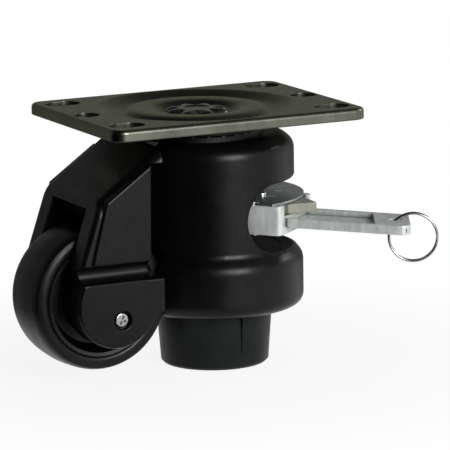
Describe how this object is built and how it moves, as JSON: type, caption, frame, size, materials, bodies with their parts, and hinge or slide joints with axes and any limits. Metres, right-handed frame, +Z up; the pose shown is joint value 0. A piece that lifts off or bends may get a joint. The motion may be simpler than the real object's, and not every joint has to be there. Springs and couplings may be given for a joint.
{
  "type": "levelling castor",
  "caption": "Plate-mounted swivel castor with a fork-held wheel and, beside it, a levelling foot that a ratchet lever screws down or up",
  "frame": {"origin": "centre of the top plate on its top face, on the swivel axis", "axes": "+Z up out of the plate, +X along the long side of the plate away from the wheel, +Y across it"},
  "size_m": [0.1295, 0.0998, 0.0904],
  "materials": {
    "plate": "satin olive-grey coating on pressed steel",
    "bright_steel": "bright zinc plate",
    "ball_steel": "hardened and polished",
    "black_casting": "satin black coating on a light-alloy casting",
    "dark_steel": "dark phosphate",
    "bush_nylon": "natural nylon",
    "wheel_nylon": "black moulded nylon",
    "tread": "black polyurethane, satin",
    "brass": "machined",
    "foot_black": "matt black coating on a light-alloy casting",
    "pad_rubber": "matt",
    "lever_steel": "bright nickel plate",
    "cover_steel": "bright nickel plate",
    "selector_metal": "pale yellow passivated zinc",
    "ring_steel": "nickel-plated wire"
  },
  "bodies": {
    "mount": {"top_plate": "plate", "kingpin": "bright_steel", "kingpin_washer": "bright_steel", "kingpin_nut": "bright_steel", "swivel_balls": "ball_steel"},
    "swivel": {"housing": "black_casting", "swivel_race": "ball_steel", "bearing_plate": "dark_steel", "plate_screws": "bright_steel", "axle": "bright_steel", "axle_screws": "bright_steel", "wheel_sleeve": "bright_steel", "axle_washers": "bush_nylon"},
    "wheel": {"wheel_bushes": "bush_nylon", "wheel_core": "wheel_nylon", "wheel_tread": "tread"},
    "screw": {"spindle": "dark_steel", "thrust_washer": "brass", "ratchet_gear": "dark_steel", "retaining_ring": "bright_steel"},
    "foot": {"foot": "foot_black", "foot_nut": "brass", "foot_pad": "pad_rubber"},
    "lever": {"ratchet_lever": "lever_steel", "cover_plate": "cover_steel", "cover_rivets": "bright_steel", "selector_pin": "bright_steel"},
    "selector": {"selector": "selector_metal", "pawl": "dark_steel"},
    "ring": {"split_ring": "ring_steel"}
  },
  "joints": [
    {"name": "swivel_turn", "type": "hinge", "parent": "mount", "child": "swivel", "pos_m": [0, 0, -0.0074], "axis": [0, 0, 1], "continuous": true},
    {"name": "wheel_spin", "type": "hinge", "parent": "swivel", "child": "wheel", "pos_m": [-0.042, 0, -0.062], "axis": [0, 1, 0], "continuous": true},
    {"name": "screw_turn", "type": "hinge", "parent": "swivel", "child": "screw", "pos_m": [0.0055, 0, -0.04], "axis": [0, 0, 1], "range_deg": [-1153, 1189]},
    {"name": "foot_slide", "type": "slide", "parent": "swivel", "child": "foot", "axis": [0, 0, -1], "range_m": [-0.0064, 0.0066]},
    {"name": "lever_swing", "type": "hinge", "parent": "swivel", "child": "lever", "pos_m": [0.0055, 0, -0.037], "axis": [0, 0, 1], "range_deg": [0, 70]},
    {"name": "selector_flip", "type": "hinge", "parent": "lever", "child": "selector", "pos_m": [0.01932, -0.01647, -0.0365], "axis": [0, 0, 1], "range_deg": [-6, 0]},
    {"name": "ring_swing", "type": "hinge", "parent": "lever", "child": "ring", "pos_m": [0.04915, -0.05201, -0.0368], "axis": [-0.4384, -0.8988, 0], "range_deg": [0, 45]}
  ],
  "couplings": [
    {"joint": "screw_turn", "follows": "foot_slide", "rad_per_m": 3141.6}
  ]
}
